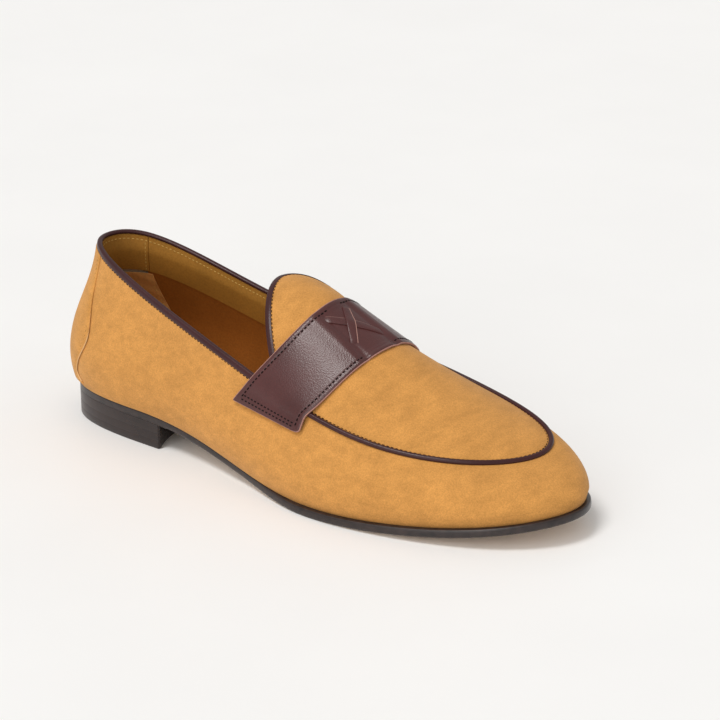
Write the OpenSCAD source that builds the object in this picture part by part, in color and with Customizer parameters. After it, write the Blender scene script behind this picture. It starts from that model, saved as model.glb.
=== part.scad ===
// Penny loafer, right foot: +X to the toe, +Y to the inner (medial) side, +Z up, floor at z = 0.

/* [Sole] */
// Thickness of the leather outsole
sole_t = 4; // [3:0.5:5]
// Rise of the sole from the ball to the heel seat
heel_rise = 13; // [10:1:18]
// Lift of the toe above the ball
toe_spring = 12; // [6:1:16]
// Width of the sole edge outside the upper at the forefoot
sole_edge = 2.5; // [1.5:0.5:4]
// Depth of the rubber insert under the forefoot
insert_t = 2; // [1:0.5:2.5]
// Thickness of the rubber top piece under the heel
top_piece_t = 4; // [3:0.5:5]
// Thickness of the lower heel lift
lift_t = 4; // [3:0.5:5]

/* [Upper] */
// Thickness of the suede
suede_t = 1.4; // [1:0.1:1.6]
// Thickness of the heel counter and the toe puff
stiffener_t = 0.8; // [0.5:0.1:1]
// Thickness of the lining leather
lining_t = 0.8; // [0.6:0.1:1]
// Width of the upper turned in under the insole
margin_w = 12; // [8:1:14]
// Height of the lining band below the top line
facing_h = 18; // [12:1:24]

/* [Footbed] */
// Thickness of the insole board
board_t = 1.8; // [1.5:0.1:2.5]
// Thickness of the sock leather
sock_t = 0.9; // [0.6:0.1:1.2]
// Thickness of the foam under the heel pad
foam_t = 2; // [1:0.5:3]

/* [Trim] */
// Height of the folded binding
binding_h = 2.8; // [2.4:0.2:4]
// Thickness of the binding leather
binding_t = 0.9; // [0.6:0.1:1.2]
// Radius of the cord round the apron
piping_r = 1.3; // [1:0.1:1.8]
// Thickness of the strap leather
strap_t = 1.5; // [1.2:0.1:2]
// Thickness of the strap backing
backing_t = 0.7; // [0.5:0.1:1]
// Width of the crossed bands on the strap
cross_w = 4.5; // [3:0.5:7]
// Radius of the sewing thread
thread_r = 0.35; // [0.25:0.05:0.45]
// Length of one stitch with its gap
stitch_pitch = 3.2; // [2.6:0.2:4.4]

/* [Last] */
// Width of the feather line at the heel seat
heel_w = 66; // [62:1:70]
// Width of the feather line at the waist
waist_w = 62; // [58:1:66]
// Width of the feather line at the ball
ball_w = 100; // [96:1:104]
// Width of the feather line at the toe
toe_w = 60; // [56:1:64]
// Width of the opening behind the ankle
collar_w = 52; // [48:1:56]
// Width of the apron
apron_w = 74; // [70:1:78]
// Height of the top line at the heel
collar_h = 88; // [84:1:92]
// Height of the apron seam beside the strap
vamp_h = 44; // [41:1:47]
// Height of the apron seam at the toe
toe_h = 33; // [31:1:36]
// Height of the apron ridge over its edges at the throat
crown_h = 32; // [29:1:35]

/* [Hidden] */

// Moves the last's own frame so that the origin is under the middle of the shoe
centre = [4.9, 1.3, 0];

// Sixteen control rows run round the shoe: 0 heel back, 4 outer waist, 8 toe tip, 12 inner waist
rows = 16;
// Ends of the feather line, and of the top line with the apron seam
heel_x = -155;
toe_tip_x = 149;
collar_x = -142;
apron_x = 125;
// How far the inner ball lies ahead of the outer one
ball_slant = 18;
// Outward bow of the middle line behind the ball, and its inward swing at the toe and on the apron
bow = 3;
toe_swing = 4;
apron_swing = 9;
// Height that the inner side gains over the outer side at the vamp
inner_lift = 8;
// Share of the full width left at the corner rows of the top line, and at the heel and ball corners
corner = 0.7;
heel_corner = 0.82;
ball_corner = 0.9;
// Share of the height that the apron seam keeps from one row to the next towards the toe
toe_fade = 0.3;
// Places of the rows along a side, as shares of the length: the first, the second and the step after it
first_station = 0.04;
second_station = 0.17;
station_step = 0.15;
// Fullness at the heel and at the toe: low bulge, high bulge, share of the height that the high one sits down
heel_fullness = [9, 4, 0.4];
toe_fullness = [5, 12, 0.2];
// Rows at which the apron seam becomes the top line, outer and inner side
throat_out = 4.5;
throat_in = 11.5;
toe_row = 8;
// How fast the apron's ridge grows from the toe
crown_power = 1.5;
// Tongue: end of its ridge, height of the ridge's middle control, crown at the end
tongue_end = [-28, 2, 89];
tongue_mid_z = 92;
tongue_crown = 22;
// How fast the tongue narrows from the throat, and how round its end is
tongue_taper = 1.5;
tongue_round = 0.6;
// Height of the strap's face over the upper: on the apron, at the seam and at its ends
strap_lift = 2;
strap_seam_lift = 3;
strap_end_lift = 0.8;
// How low the strap crosses the apron seam, and how far out over the apron its rows reach
strap_seam_v = 0.97;
strap_reach = 0.95;
// Rear and front edge of the strap: place on the apron's ridge, and how far it sweeps back at the sides
strap_places = [1, 0.78];
strap_sweeps = [0.17, 0.07];
// Rows at which each edge crosses the seam, and the row and height at which it ends
strap_outer_seams = [4.1, 4.95];
strap_inner_seams = [11.8, 11.1];
strap_outer_ends = [[3.9, 0.72], [4.92, 0.79]];
strap_inner_ends = [[12.1, 0.72], [11.2, 0.79]];
// Row of the seam where the two facings meet, and half the width of the heel grip in rows
seam_row = -1;
grip_half = 1.3;
gap_rows = 0.02;
// Front of the heel: its place, the radius of its hollow and half the heel's width there
breast_x = -77;
breast_r = 60;
breast_half = 32;
// Nails: radius in the lifts and in the top piece
nail_r = 0.9;
pin_r = 0.8;
seat_x = -92;
ball_x = 28;
stack_t = suede_t + stiffener_t + lining_t + 0.2;
// Height at which the side starts, over the bend into its margin
bend_h = 4.2;
heel_seat_z = sole_t + heel_rise;

// ---- curves -----------------------------------------------------------------

function mix(a, b, s) = a * (1 - s) + b * s;
function limit(s) = max(0, min(1, s));
function smooth(s) = limit(s) * limit(s) * (3 - 2 * limit(s));
function unit(v) = v / norm(v);
function blend(a, b, c, d, f) = (a * pow(1 - f, 3) + b * (3 * pow(f, 3) - 6 * f * f + 4)
  + c * (-3 * pow(f, 3) + 3 * f * f + 3 * f + 1) + d * pow(f, 3)) / 6;
// Point on the closed cubic B-spline of sixteen rows
function loop_at(list, t) = let (i = floor(t) + rows, f = t - floor(t))
  blend(list[(i - 1) % rows], list[i % rows], list[(i + 1) % rows], list[(i + 2) % rows], f);
// Row of an open list, carried on past both ends
function open_row(list, i) = let (n = len(list) - 1)
  i < 0 ? 2 * list[0] - list[1] : i > n ? 2 * list[n] - list[n - 1] : list[i];
// Point on the open cubic B-spline, s from 0 to 1
function open_at(list, s) = let (t = limit(s) * (len(list) - 1), i = min(floor(t), len(list) - 2))
  blend(open_row(list, i - 1), list[i], list[i + 1], open_row(list, i + 2), t - i);

// ---- last -------------------------------------------------------------------

// Share of the length at which control row k of a side sits, counted from the heel
function station(k) = k == 0 ? 0 : k == 1 ? first_station : min(second_station + station_step * (k - 2), 1);
// Middle line of a side's row, with its bow starting at the row named first
function middle_y(k, first, swing) = swing * pow(max(0, k - 5) / 3, 2)
  - (k > first && k < first + 5 ? bow * sin(180 * (k - first) / 5) : 0);
function feather_w(k) = [0, heel_corner * heel_w, heel_w, waist_w, (waist_w + ball_w) / 2, ball_w,
  ball_corner * ball_w, toe_w, 0][k];
function feather_row(k, side) = [
  mix(heel_x, toe_tip_x, station(k)) + (side > 0 ? ball_slant * sin(180 * station(k)) : 0),
  side * feather_w(k) / 2 + middle_y(k, 1, toe_swing)];
function top_w(k) = k == 0 || k == 8 ? 0
  : mix(collar_w, apron_w, limit((k - 2) / 3)) * (k == 1 || k == 7 ? corner : 1);
function top_z(k) = k < 5 ? mix(collar_h, vamp_h, max(k - 1, 0) / 4)
  : mix(toe_h, vamp_h, pow(toe_fade, k - 5));
function top_row(k, side) = [
  mix(collar_x, apron_x, station(k)) + (side > 0 ? apron_swing * station(k) : 0),
  side * top_w(k) / 2 + middle_y(k, 2, apron_swing),
  top_z(k) + (side > 0 ? inner_lift * smooth((k - 3) / 2) * smooth((8 - k) / 2) : 0)];
// The low bulge fades from the heel on, the high one grows and rises only in front of the waist
function bulge_row(k) = let (a = heel_fullness, b = toe_fullness) [mix(a[0], b[0], smooth((k - 2) / 5)),
  mix(a[1], b[1], smooth((k - 4) / 4)), mix(a[2], b[2], smooth((k - 4.5) / 3))];
feather_rows = [for (r = [0:15]) r <= 8 ? feather_row(r, -1) : feather_row(rows - r, 1)];
top_rows = [for (r = [0:15]) r <= 8 ? top_row(r, -1) : top_row(rows - r, 1)];
bulge_rows = [for (r = [0:15]) bulge_row(r <= 8 ? r : rows - r)];

// Height of the top of the outsole
function sole_top(x) = sole_t + heel_rise * smooth((ball_x - x) / (ball_x - seat_x))
  + toe_spring * pow(max(0, x - ball_x) / (toe_tip_x - ball_x), 2);
function outward(t) = let (d = loop_at(feather_rows, t + 0.01) - loop_at(feather_rows, t - 0.01))
  unit([d.y, -d.x]);
// Feather line moved outwards by g
function plan_at(t, g) = loop_at(feather_rows, t) + outward(t) * g;
// Point under the insole, m in from the feather line and d above the outsole
function under(t, m, d) = let (q = plan_at(t, -m)) [q.x, q.y, sole_top(q.x) + d];
// Outer face of the side of the upper: v is 0 at the sole and 1 at the top
function side_at(t, v) = let (f = under(t, 0, 0), top = loop_at(top_rows, t), b = loop_at(bulge_rows, t),
    o = outward(t), n = [o.x, o.y, 0], h = [0, 0, top.z - f.z],
    low = f + n * b[0] + 0.4 * h, high = top + n * b[1] - b[2] * h, w = 1 - v)
  w * w * w * f + 3 * w * w * v * low + 3 * w * v * v * high + v * v * v * top;
function side_normal(t, v) = unit(cross(side_at(t + 0.02, v) - side_at(t - 0.02, v),
  side_at(t, v + 0.02) - side_at(t, v - 0.02)));
function side_in(t, v, d) = side_at(t, v) - side_normal(t, v) * d;
function side_h(t) = loop_at(top_rows, t).z - under(t, 0, 0).z;
// Lowest v that clears the bend at the sole
function foot_v(t) = bend_h / side_h(t);
function facing_v(t) = 1 - facing_h / side_h(t);
// Outer face of the apron: e is 0 at the toe and 1 at the throat, w runs from -1 outer to 1 inner
function apron_at(e, w) = let (a = loop_at(top_rows, mix(toe_row, throat_out, e)),
    b = loop_at(top_rows, mix(toe_row, throat_in, e)))
  mix(a, b, (1 + w) / 2) + [0, 0, crown_h * pow(e, crown_power) * (1 - w * w)];
// Outer face of the tongue: s is 0 at the throat and 1 at the rounded end
function tongue_at(s, w) = let (a = loop_at(top_rows, throat_out), b = loop_at(top_rows, throat_in),
    m = (a + b) / 2, k = pow(1 - pow(s, tongue_taper), tongue_round), half = (b.y - a.y) / 2 * k,
    ridge = pow(1 - s, 2) * (m.z + crown_h) + 2 * s * (1 - s) * tongue_mid_z + s * s * tongue_end.z)
  [mix(m.x, tongue_end.x, s), mix(m.y, tongue_end.y, s) + half * w
    + (a.y - m.y + (b.y - a.y) / 2) * (1 - s), ridge - mix(crown_h, tongue_crown, s) * pow(w * k, 2)
    + mix(a.z, b.z, (1 + w) / 2) * (1 - s) - m.z * (1 - s)];
// Apron and tongue as one sheet: q from 0 at the toe to 1 at the throat and 2 at the tongue's end
function plug_at(q, w) = q < 1 ? apron_at(q, w) : tongue_at(1 - pow(1 - min(q - 1, 0.995), 2), w);
function plug_in(q, w, d) = let (e = q < 0.06 ? 0.06 : q > 1.93 ? 1.93 : q, k = max(-0.95, min(0.95, w)),
    n = unit(cross(plug_at(e - 0.02, k) - plug_at(e + 0.02, k), plug_at(e, k + 0.03) - plug_at(e, k - 0.03))))
  plug_at(q, w) - n * d;
// Rows of the strap's rear edge (0) or front edge (1): up the outer side, over the instep and down
function strap_edge(k) = let (out = strap_outer_ends[k], in = strap_inner_ends[k]) concat(
  [side_in(out[0], out[1], -strap_end_lift), side_in(strap_outer_seams[k], strap_seam_v, -strap_seam_lift)],
  [for (i = [0:5]) let (w = mix(-strap_reach, strap_reach, i / 5))
    plug_in(strap_places[k] + strap_sweeps[k] * w * w, w, -strap_lift)],
  [side_in(strap_inner_seams[k], strap_seam_v, -strap_seam_lift), side_in(in[0], in[1], -strap_end_lift)]);
strap_rear_rows = strap_edge(0);
strap_front_rows = strap_edge(1);
// Face of the strap: u along it, v from its rear edge to its front edge, d outwards
function strap_at(u, v) = mix(open_at(strap_rear_rows, u), open_at(strap_front_rows, u), v);
function strap_out(u, v, d) = let (a = max(0.01, min(0.99, u)),
    n = unit(cross(open_at(strap_rear_rows, a) - open_at(strap_front_rows, a),
      strap_at(a + 0.01, v) - strap_at(a - 0.01, v))))
  strap_at(u, v) - n * d;

// ---- solids from point grids ----------------------------------------------------

function flat(list) = [for (a = list) for (b = a) b];
// Two triangles for each cell of a grid of n by m points that starts at point k
function cells(n, m, k, turned) = [for (i = [0:n - 2]) for (j = [0:m - 2])
  let (a = k + i * m + j, b = a + 1, c = a + m + 1, d = a + m)
  each turned ? [[a, b, c], [a, c, d]] : [[a, c, b], [a, d, c]]];
// Triangles along a rim between two lists of point numbers
function rim(a, b) = [for (i = [0:len(a) - 2])
  each [[a[i], a[i + 1], b[i + 1]], [a[i], b[i + 1], b[i]]]];

// Closed sheet between an outer and an inner grid of points
module sheet(outer, inner) {
  n = len(outer);
  m = len(outer[0]);
  k = n * m;
  first = [for (j = [0:m - 1]) j];
  last = [for (j = [0:m - 1]) (n - 1) * m + j];
  low = [for (i = [0:n - 1]) i * m];
  high = [for (i = [0:n - 1]) i * m + m - 1];
  more = [for (j = [0:m - 1]) k];
  side = [for (i = [0:n - 1]) k];
  polyhedron(concat(flat(outer), flat(inner)), concat(cells(n, m, 0, false), cells(n, m, k, true),
    rim(first, first + more), rim(last + more, last), rim(low + side, low), rim(high, high + side)),
    convexity = 10);
}

// Sheet that closes on itself round the shoe
module ring(outer, inner) {
  n = len(outer);
  m = len(outer[0]);
  k = n * m;
  low = [for (i = [0:n - 1]) i * m];
  high = [for (i = [0:n - 1]) i * m + m - 1];
  skin = [for (i = [0:n - 1]) for (j = [0:m - 2])
    let (a = i * m + j, b = a + 1, c = ((i + 1) % n) * m + j + 1, d = ((i + 1) % n) * m + j)
    each [[a, c, b], [a, d, c], [k + a, k + b, k + c], [k + a, k + c, k + d]]];
  edge = [for (i = [0:n - 1]) let (p = (i + 1) % n)
    each [[k + low[i], k + low[p], low[p]], [k + low[i], low[p], low[i]],
      [high[i], high[p], k + high[p]], [high[i], k + high[p], k + high[i]]]];
  polyhedron(concat(flat(outer), flat(inner)), concat(skin, edge), convexity = 10);
}

// Solid swept through sections, each a list of points in the same turn
module sweep(sections) {
  n = len(sections);
  m = len(sections[0]);
  skin = [for (i = [0:n - 2]) for (j = [0:m - 1])
    let (a = i * m + j, b = i * m + (j + 1) % m, c = b + m, d = a + m) each [[a, b, c], [a, c, d]]];
  ends = [[for (j = [m - 1:-1:0]) j], [for (j = [0:m - 1]) (n - 1) * m + j]];
  polyhedron(flat(sections), concat(skin, ends), convexity = 10);
}

// Part of the side between rows t0 and t1, from offset d0 in to d1, with its turned-in margin
function side_grid(t0, t1, n, m, d, tuck, foot, head) = [for (i = [0:n])
  let (t = mix(t0, t1, i / n), low = foot(t), high = head(t))
  concat(tuck ? [under(t, margin_w, d), under(t, 0.5 * margin_w, d), under(t, 0.95 * d, d)] : [],
    [for (j = [0:m]) side_in(t, mix(low, high, j / m), d)])];
module side_sheet(t0, t1, n, m, d0, d1, tuck, foot, head) {
  sheet(side_grid(t0, t1, n, m, d0, tuck, foot, head), side_grid(t0, t1, n, m, d1, tuck, foot, head));
}

// Slice that follows the sole, between heights z0 and z1 above the top of the outsole
module sole_slice(outline, z0, z1, x0, x1) {
  steps = 40;
  xs = [for (i = [0:steps]) mix(x0, x1, i / steps)];
  intersection() {
    linear_extrude(60) polygon(outline);
    rotate([90, 0, 0]) linear_extrude(160, center = true) polygon(concat(
      [for (x = xs) [x, sole_top(x) + z0]], [for (i = [steps:-1:0]) [xs[i], sole_top(xs[i]) + z1]]));
  }
}
function outline(g, n) = [for (i = [0:n - 1]) plan_at(i * rows / n, g)];
function sole_outline(n) = [for (i = [0:n - 1]) let (t = i * rows / n, x = plan_at(t, 0).x)
  plan_at(t, mix(-0.8, sole_edge, smooth((x + 20) / 50)))];

module placed() {
  translate(centre) children();
}

// Short rod from a to b
module rod(a, b, r) {
  d = b - a;
  translate(a) rotate([0, acos(d.z / norm(d)), atan2(d.y, d.x)]) cylinder(h = norm(d), r = r, $fn = 16);
}
// One row of stitches through points along a path
module stitches(points) {
  for (i = [0:len(points) - 2])
    rod(mix(points[i], points[i + 1], 0.14), mix(points[i], points[i + 1], 0.86), thread_r);
}

// ---- bottom unit -----------------------------------------------------------------

insert_outline = [for (a = [0:10:350]) let (c = cos(a), s = sin(a))
  [68 + 50 * c, -1 + (31 - 7 * c) * s + 5 * c]];

module outsole() {
  color("#c8a882") placed() difference() {
    sole_slice(sole_outline(80), -sole_t, 0, -170, 170);
    sole_slice(insert_outline, -sole_t - 1, insert_t - sole_t, 0, 130);
  }
}
module forefoot_insert() {
  color("#202224") placed() sole_slice(insert_outline, -sole_t, insert_t - sole_t, 0, 130);
}

// Block of the heel between two heights
module heel_block(z0, z1) {
  difference() {
    translate([0, 0, z0]) linear_extrude(z1 - z0) intersection() {
      polygon(sole_outline(80));
      translate([-200, -50]) square([200 + breast_x, 100]);
    }
    translate([breast_x + sqrt(breast_r * breast_r - breast_half * breast_half), 0, -1])
      cylinder(h = 40, r = breast_r, $fn = 96);
  }
}
nail_spots = [for (a = [60:40:300]) [-112 + 25 * cos(a), 20 * sin(a)]];
module nail_holes() {
  for (p = nail_spots) translate([p.x, p.y, 0]) cylinder(h = 30, r = nail_r, $fn = 24);
}
module pins(z, h) {
  for (p = nail_spots) translate([p.x * 0.9 - 11, p.y * 0.8, z]) cylinder(h = h, r = pin_r, $fn = 24);
}
module heel_lift_upper() {
  color("#3a261e") placed() difference() {
    heel_block(top_piece_t + lift_t, heel_seat_z);
    sole_slice(outline(20, 40), -sole_t, 30, -190, 0);
    nail_holes();
  }
}
module heel_lift_lower() {
  color("#33211a") placed() difference() {
    heel_block(top_piece_t, top_piece_t + lift_t);
    nail_holes();
  }
}
module top_piece() {
  color("#1f1b1a") placed() difference() {
    heel_block(0, top_piece_t);
    pins(-1, 30);
  }
}
module heel_nails() {
  color("#9a9a9a") placed() for (p = nail_spots) translate([p.x, p.y, top_piece_t]) cylinder(
    h = sole_top(p.x) - sole_t - top_piece_t, r = nail_r, $fn = 24);
}
module top_piece_nails() {
  color("#a8935a") placed() pins(0.2, top_piece_t - 0.2);
}
module shank() {
  color("#8d9196") placed() difference() {
    sole_slice([[-108, -7], [-100, -8], [-30, -6], [-22, -5], [-22, 5], [-30, 6], [-100, 8], [-108, 7]],
      0.6, 2, -112, -18);
    for (x = [-102, -28]) translate([x, 0, 0]) cylinder(h = 60, r = 1.6, $fn = 24);
  }
}
module cork_filler() {
  color("#a97c50") placed() intersection() {
    sole_slice(outline(-margin_w - 1, 64), 0.1, stack_t, -16, 140);
    translate([-16, -80, 0]) cube([160, 160, 60]);
  }
}

// ---- footbed ---------------------------------------------------------------------

board_z = stack_t + 0.1;
sock_z = board_z + board_t;
foam_z = sock_z + sock_t;
function pad_outline(g) = [for (p = concat([for (i = [0:16]) plan_at(-2.4 + 4.8 * i / 16, -g)],
  [for (a = [-75:25:75]) [-86 + 18 * cos(a), -1 + 22 * sin(a)]])) p];
module insole_board() {
  color("#b58f63") placed() sole_slice(outline(-3.8, 80), board_z, board_z + board_t, -170, 170);
}
module sock() {
  color("#c58a4a") placed() sole_slice(outline(-4, 80), sock_z, sock_z + sock_t, -170, 170);
}
module heel_foam() {
  color("#e8e2d0") placed() sole_slice(pad_outline(8), foam_z, foam_z + foam_t, -170, -40);
}
module heel_pad() {
  z = foam_z + foam_t;
  color("#cf9c63") placed() sole_slice(pad_outline(5.5), z, z + sock_t, -170, -40);
}

// ---- upper -----------------------------------------------------------------------

lining_d = suede_t + stiffener_t + 0.2;
module skirt() {
  outer = side_grid(0, rows - rows / 72, 71, 8, 0, true, function(t) foot_v(t), function(t) 1);
  inner = side_grid(0, rows - rows / 72, 71, 8, suede_t, true, function(t) foot_v(t), function(t) 1);
  color("#d4985a") placed() ring(outer, inner);
}
module toe_puff() {
  color("#d9d2c2") placed() side_sheet(6.2, 9.8, 16, 5, suede_t + 0.1, suede_t + stiffener_t + 0.1, true,
    function(t) foot_v(t), function(t) 0.92);
}
module heel_counter() {
  color("#b79b74") placed() side_sheet(-2, 2, 18, 5, suede_t + 0.1, suede_t + stiffener_t + 0.1, true,
    function(t) foot_v(t), function(t) mix(0.78, 0.5, pow(t / 2, 2)));
}
module vamp_lining() {
  top = function(t) t < toe_row ? mix(facing_v(t) - 0.01, 1, smooth((t - 4.2) / 0.4))
    : mix(facing_v(t) - 0.01, 1, smooth((11.8 - t) / 0.4));
  start = grip_half + gap_rows;
  color("#b5743a") placed() side_sheet(start, rows - start, 56, 5, lining_d, lining_d + lining_t, true,
    function(t) foot_v(t), top);
}
module heel_grip() {
  color("#cf9c63") placed() side_sheet(-grip_half, grip_half, 14, 5, lining_d, lining_d + lining_t, true,
    function(t) foot_v(t), function(t) facing_v(t) - 0.01);
}
module facing_lateral() {
  color("#b98a4e") placed() side_sheet(seam_row, throat_out - 0.1, 32, 3, lining_d,
    lining_d + lining_t, false, function(t) facing_v(t), function(t) 1);
}
module facing_medial() {
  color("#b98a4e") placed() side_sheet(throat_in + 0.1, rows + seam_row - gap_rows, 18, 3, lining_d,
    lining_d + lining_t, false, function(t) facing_v(t), function(t) 1);
}
// Half the width of the back strip, in rows: it swells at the heel's curve and kicks out at the sole
function strip_half(v) = 1.05 + 0.33 * exp(-pow((v - 0.42) / 0.27, 2)) + 0.35 * pow(max(0, 1 - v / 0.12), 2);
strip_t = 0.8;
module back_strip() {
  grid = function(d) [for (i = [0:20]) [for (j = [0:12]) let (v = mix(0.05, 0.97, j / 12))
    side_in(mix(-1, 1, i / 20) * strip_half(v), v, d)]];
  color("#d4985a") placed() sheet(grid(-strip_t), grid(-0.05));
}

function plug_grid(d, q0, q1, n, k) = [for (i = [0:n]) [for (j = [0:12])
  plug_in(mix(q0, q1, i / n), k * mix(1, -1, j / 12), d)]];
module apron() {
  color("#d4985a") placed()
    sheet(plug_grid(0, 0.02, 1.97, 32, 0.97), plug_grid(suede_t, 0.02, 1.97, 32, 0.97));
}
module apron_lining() {
  color("#b5743a") placed() sheet(plug_grid(suede_t + 0.1, 0.1, 1.95, 28, 0.93),
    plug_grid(suede_t + 0.1 + lining_t, 0.1, 1.95, 28, 0.93));
}

// ---- trim ------------------------------------------------------------------------

// Folded strip over an edge of thickness t: offsets inwards and along the surface
function fold(t) = [[0, -binding_h], [-binding_t, -binding_h], [-binding_t, 0.3],
  [-0.4 * binding_t, 1.2], [t + 0.4 * binding_t, 1.2], [t + binding_t, 0.3],
  [t + binding_t, -binding_h], [t, -binding_h], [t, 0.1], [0, 0.1]];
module topline_binding() {
  n = 72;
  thick = lining_d + lining_t;
  color("#4a2a2c") placed() sweep([for (i = [0:n])
    let (t = mix(throat_out - 0.1, throat_in - rows + 0.1, i / n),
      up = unit(side_at(t, 1) - side_at(t, 0.96)))
    [for (s = fold(thick)) side_in(t, 1, s.x) + up * s.y]]);
}
// Outline of the tongue from the outer throat round its end to the inner throat
function tongue_rim(s) = let (q = sin(90 * (1 - abs(2 * s - 1))))
  plug_at(1 + min(q, 0.995), s < 0.5 ? -1 : 1);
function tongue_frame(s) = let (q = min(0.93, sin(90 * (1 - abs(2 * s - 1)))), w = s < 0.5 ? -1 : 1,
    n = unit(plug_in(1 + q, w, 0) - plug_in(1 + q, w, 1)),
    d = tongue_rim(min(1, s + 0.02)) - tongue_rim(max(0, s - 0.02)), e = unit(cross(n, d))) [n, -e];
module tongue_binding() {
  n = 40;
  thick = suede_t + 0.1 + lining_t;
  color("#4a2a2c") placed() sweep([for (i = [0:n]) let (s = mix(0.05, 0.95, i / n), p = tongue_rim(s),
      f = tongue_frame(s))
    [for (k = fold(thick)) p - f[0] * k.x + f[1] * (0.8 * k.y)]]);
}
module piping() {
  n = 72;
  color("#4a2a2c") placed() sweep([for (i = [0:n]) let (t = mix(throat_out, throat_in, i / n),
      up = side_normal(t, 1), o = outward(t), out = unit([o.x, o.y, 0] - up * (up * [o.x, o.y, 0])),
      p = side_at(t, 1) + up * 0.5)
    [for (a = [0:45:315]) p + (out * cos(a) + up * sin(a)) * piping_r]]);
}
module strap_sheet(d0, d1, u0, u1, v0, v1) {
  grid = function(d) [for (i = [0:36]) [for (j = [0:6])
    strap_out(mix(u0, u1, i / 36), mix(v0, v1, j / 6), d)]];
  sheet(grid(d1), grid(d0));
}
module strap() {
  color("#5a3433") placed() strap_sheet(backing_t, backing_t + strap_t, 0, 1, 0, 1);
}
module strap_backing() {
  color("#8d5b45") placed() strap_sheet(0, backing_t, 0.01, 0.99, 0.03, 0.97);
}
// Band laid across the strap from one (u, v) to another, with its height over the strap
module cross_band(a, b, d) {
  half_u = cross_w / 250;
  grid = function(h) [for (i = [0:10]) [for (j = [0:4]) strap_out(mix(a[0], b[0], i / 10)
    + half_u * mix(-1, 1, j / 4), mix(a[1], b[1], i / 10), h)]];
  base = backing_t + strap_t;
  sheet(grid(base + d), grid(base + d - 0.9));
}
module cross_band_under() {
  color("#4f2c2c") placed() cross_band([0.418, 0.12], [0.588, 0.78], 1);
}
module cross_band_over() {
  color("#5f3937") placed() cross_band([0.552, 0.10], [0.428, 0.74], 2);
}

// ---- thread ----------------------------------------------------------------------

module topline_thread() {
  n = round(260 / stitch_pitch);
  color("#3b2020") placed() stitches([for (i = [0:n])
    let (t = mix(throat_out - 0.2, throat_in - rows + 0.2, i / n))
    side_in(t, 1 - (binding_h + 0.4) / side_h(t), -0.2)]);
}
module apron_thread() {
  n = round(210 / stitch_pitch);
  color("#3b2020") placed() stitches([for (i = [0:n])
    let (e = abs(2 * i / n - 1), w = i < n / 2 ? -0.93 : 0.93)
    plug_in(0.08 + 0.85 * e, w, -0.2)]);
}
module strap_thread() {
  n = round(150 / stitch_pitch);
  h = backing_t + strap_t + 0.15;
  color("#2c1718") placed() for (v = [0.07, 0.93])
    stitches([for (i = [0:n]) strap_out(mix(0.02, 0.98, i / n), v, h)]);
  color("#2c1718") placed() for (u = [0.03, 0.055, 0.945, 0.97])
    stitches([for (i = [0:12]) strap_out(u, mix(0.07, 0.93, i / 12), h)]);
}
module back_strip_thread() {
  color("#8a5a2c") placed() for (k = [-1, 1])
    stitches([for (i = [0:24]) let (v = mix(0.12, 0.93, i / 24))
      side_in(k * (strip_half(v) - 0.055), v, -strip_t - 0.15)]);
}
// Lockstitch that holds the sole, hidden in the channel under the sock
module sole_thread() {
  n = 96;
  color("#d8cdb4") placed()
    stitches([for (i = [0:n]) under(mix(2.6, 13.4, i / n), 8, board_z + board_t - 0.2)]);
}

outsole();
forefoot_insert();
heel_lift_upper();
heel_lift_lower();
top_piece();
heel_nails();
top_piece_nails();
shank();
cork_filler();
insole_board();
sock();
heel_foam();
heel_pad();
skirt();
apron();
vamp_lining();
facing_lateral();
facing_medial();
heel_grip();
apron_lining();
heel_counter();
toe_puff();
back_strip();
topline_binding();
tongue_binding();
piping();
strap();
strap_backing();
cross_band_under();
cross_band_over();
topline_thread();
apron_thread();
strap_thread();
back_strip_thread();
sole_thread();
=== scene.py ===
import math

import bmesh
import bpy
import numpy as np
from mathutils import Matrix, Vector


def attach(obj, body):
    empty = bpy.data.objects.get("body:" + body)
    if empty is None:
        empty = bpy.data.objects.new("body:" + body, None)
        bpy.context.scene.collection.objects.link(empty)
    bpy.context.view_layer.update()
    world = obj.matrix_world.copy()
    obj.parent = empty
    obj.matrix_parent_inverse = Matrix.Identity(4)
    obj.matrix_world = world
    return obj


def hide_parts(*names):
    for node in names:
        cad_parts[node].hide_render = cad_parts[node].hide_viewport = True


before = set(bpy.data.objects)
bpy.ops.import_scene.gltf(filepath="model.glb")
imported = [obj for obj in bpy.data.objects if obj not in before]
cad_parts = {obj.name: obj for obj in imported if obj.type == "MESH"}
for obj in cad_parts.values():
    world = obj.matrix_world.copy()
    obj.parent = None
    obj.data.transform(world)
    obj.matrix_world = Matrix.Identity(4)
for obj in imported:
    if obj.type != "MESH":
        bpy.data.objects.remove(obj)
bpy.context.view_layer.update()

# ---- the last, as in the part's own source, in millimetres ----

MM = 0.001
CENTRE = np.array([4.9, 1.3, 0.0])
ROWS = 16
THROAT_OUT, THROAT_IN, TOE_ROW = 4.5, 11.5, 8
CROWN_H, CROWN_POWER = 32, 1.5
TONGUE_END = np.array([-28.0, 2.0, 89.0])
TONGUE_MID_Z, TONGUE_CROWN = 92, 22
TONGUE_TAPER, TONGUE_ROUND = 1.5, 0.6
HEEL_X, TOE_X = -155, 149
HEEL_W, WAIST_W, BALL_W, TOE_W = 66, 62, 100, 60
BALL_SLANT, BOW, TOE_SWING = 18, 3, 4
COLLAR_X, APRON_X = -142, 125
COLLAR_W, APRON_W, APRON_SWING = 52, 74, 9
COLLAR_H, VAMP_H, TOE_H, INNER_LIFT = 88, 44, 33, 8
CORNER, HEEL_CORNER, BALL_CORNER, TOE_FADE = 0.7, 0.82, 0.9, 0.3
BALL_X, SEAT_X = 28, -92
FIRST_STATION, SECOND_STATION, STATION_STEP = 0.04, 0.17, 0.15
HEEL_FULLNESS, TOE_FULLNESS = (9, 4, 0.4), (5, 12, 0.2)
SOLE_T, HEEL_RISE, TOE_SPRING, SOLE_EDGE = 4, 13, 12, 2.5
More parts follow.
